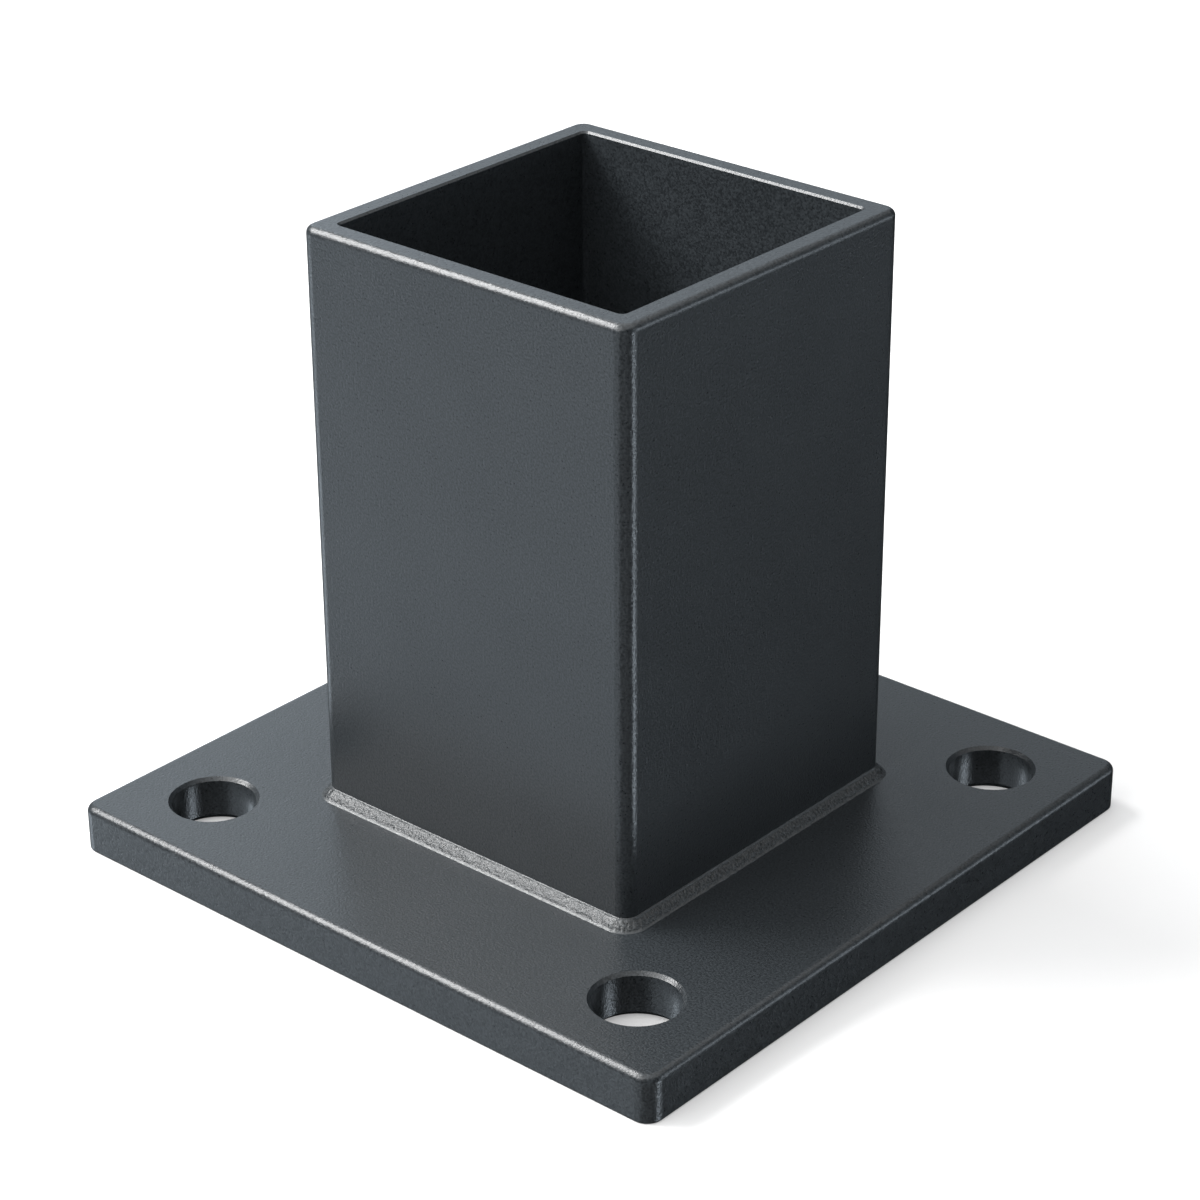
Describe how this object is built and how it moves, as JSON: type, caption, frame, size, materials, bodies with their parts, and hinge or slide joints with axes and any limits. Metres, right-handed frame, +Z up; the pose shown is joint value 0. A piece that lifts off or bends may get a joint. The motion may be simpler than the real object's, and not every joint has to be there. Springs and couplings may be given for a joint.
{
  "type": "fence post base plate",
  "caption": "Square steel base plate with a welded upright square sleeve that takes a fence post, and round anchor bolt holes at its corners.",
  "frame": {"origin": "centre of the plate's underside, on the concrete", "axes": "+Z up, out of the sleeve's open mouth; +X and +Y square to the plate's sides"},
  "size_m": [0.15, 0.15, 0.132],
  "materials": {
    "powder_coat": "satin",
    "weld_bead": "satin"
  },
  "bodies": {
    "root": {"base_plate": "powder_coat", "post_sleeve": "powder_coat", "fillet_weld": "weld_bead"}
  },
  "joints": []
}
